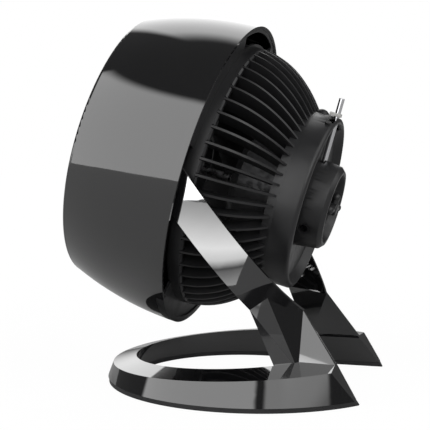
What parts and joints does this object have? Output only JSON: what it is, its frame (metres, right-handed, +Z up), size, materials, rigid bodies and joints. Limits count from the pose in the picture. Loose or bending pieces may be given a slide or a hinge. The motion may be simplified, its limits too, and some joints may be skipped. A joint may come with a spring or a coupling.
{
  "type": "air circulator fan",
  "caption": "Table air circulator: a barrel-shaped ducted head with a ribbed rear grille and a hub speed lever, tilting in a horseshoe stand with leaning arms.",
  "frame": {"origin": "on the floor, under the centre of the bounding box", "axes": "+Z up, the air leaves towards -Y, the controls face +Y, the stand is symmetric about x = 0"},
  "size_m": [0.31, 0.2954, 0.3658],
  "materials": {
    "gloss_black": "polished",
    "matte_black": "fine grain",
    "chrome": "polished",
    "pale_plastic": "satin",
    "steel": "zinc plated",
    "black_steel": "blackened",
    "motor_metal": "grey enamel",
    "inner_plastic": "plain",
    "copper": "enamelled wire",
    "board": "solder mask"
  },
  "bodies": {
    "stand": {"base_ring": "gloss_black", "foot_ring": "matte_black", "right_arm": "gloss_black", "left_arm": "gloss_black", "base_screws": "steel"},
    "head": {"shroud": "gloss_black", "inner_duct": "matte_black", "rear_frame": "matte_black", "rear_grille": "matte_black", "hub_cup": "matte_black", "control_housing": "matte_black", "power_inlet": "matte_black", "circuit_board": "board", "speed_switch": "inner_plastic", "motor_housing": "motor_metal", "motor_plate": "inner_plastic", "front_bearing": "steel", "rear_bearing": "steel", "stator": "motor_metal", "windings": "copper", "front_grille": "matte_black", "centre_cap": "matte_black", "friction_washers": "pale_plastic", "right_pivot_pin": "steel", "left_pivot_pin": "steel", "frame_screws": "steel", "hub_screws": "steel", "motor_screws": "steel", "housing_screws": "steel", "grille_screws": "steel", "stop_screws": "black_steel"},
    "rotor": {"impeller": "matte_black", "impeller_nut": "steel", "motor_shaft": "steel", "rotor": "motor_metal"},
    "control": {"speed_lever": "chrome", "lever_guide": "pale_plastic", "switch_shaft": "inner_plastic", "control_knob": "matte_black"}
  },
  "joints": [
    {"name": "head_tilt", "type": "hinge", "parent": "stand", "child": "head", "pos_m": [0, -0.02317, 0.216], "axis": [-1, 0, 0], "range_deg": [-15.8, 44.2]},
    {"name": "impeller_spin", "type": "hinge", "parent": "head", "child": "rotor", "pos_m": [0, -0.00277, 0.204], "axis": [0, 0.9622, -0.2723], "continuous": true},
    {"name": "speed_control", "type": "hinge", "parent": "head", "child": "control", "pos_m": [0, -0.00277, 0.204], "axis": [0, 0.9622, -0.2723], "range_deg": [-15, 15]}
  ]
}
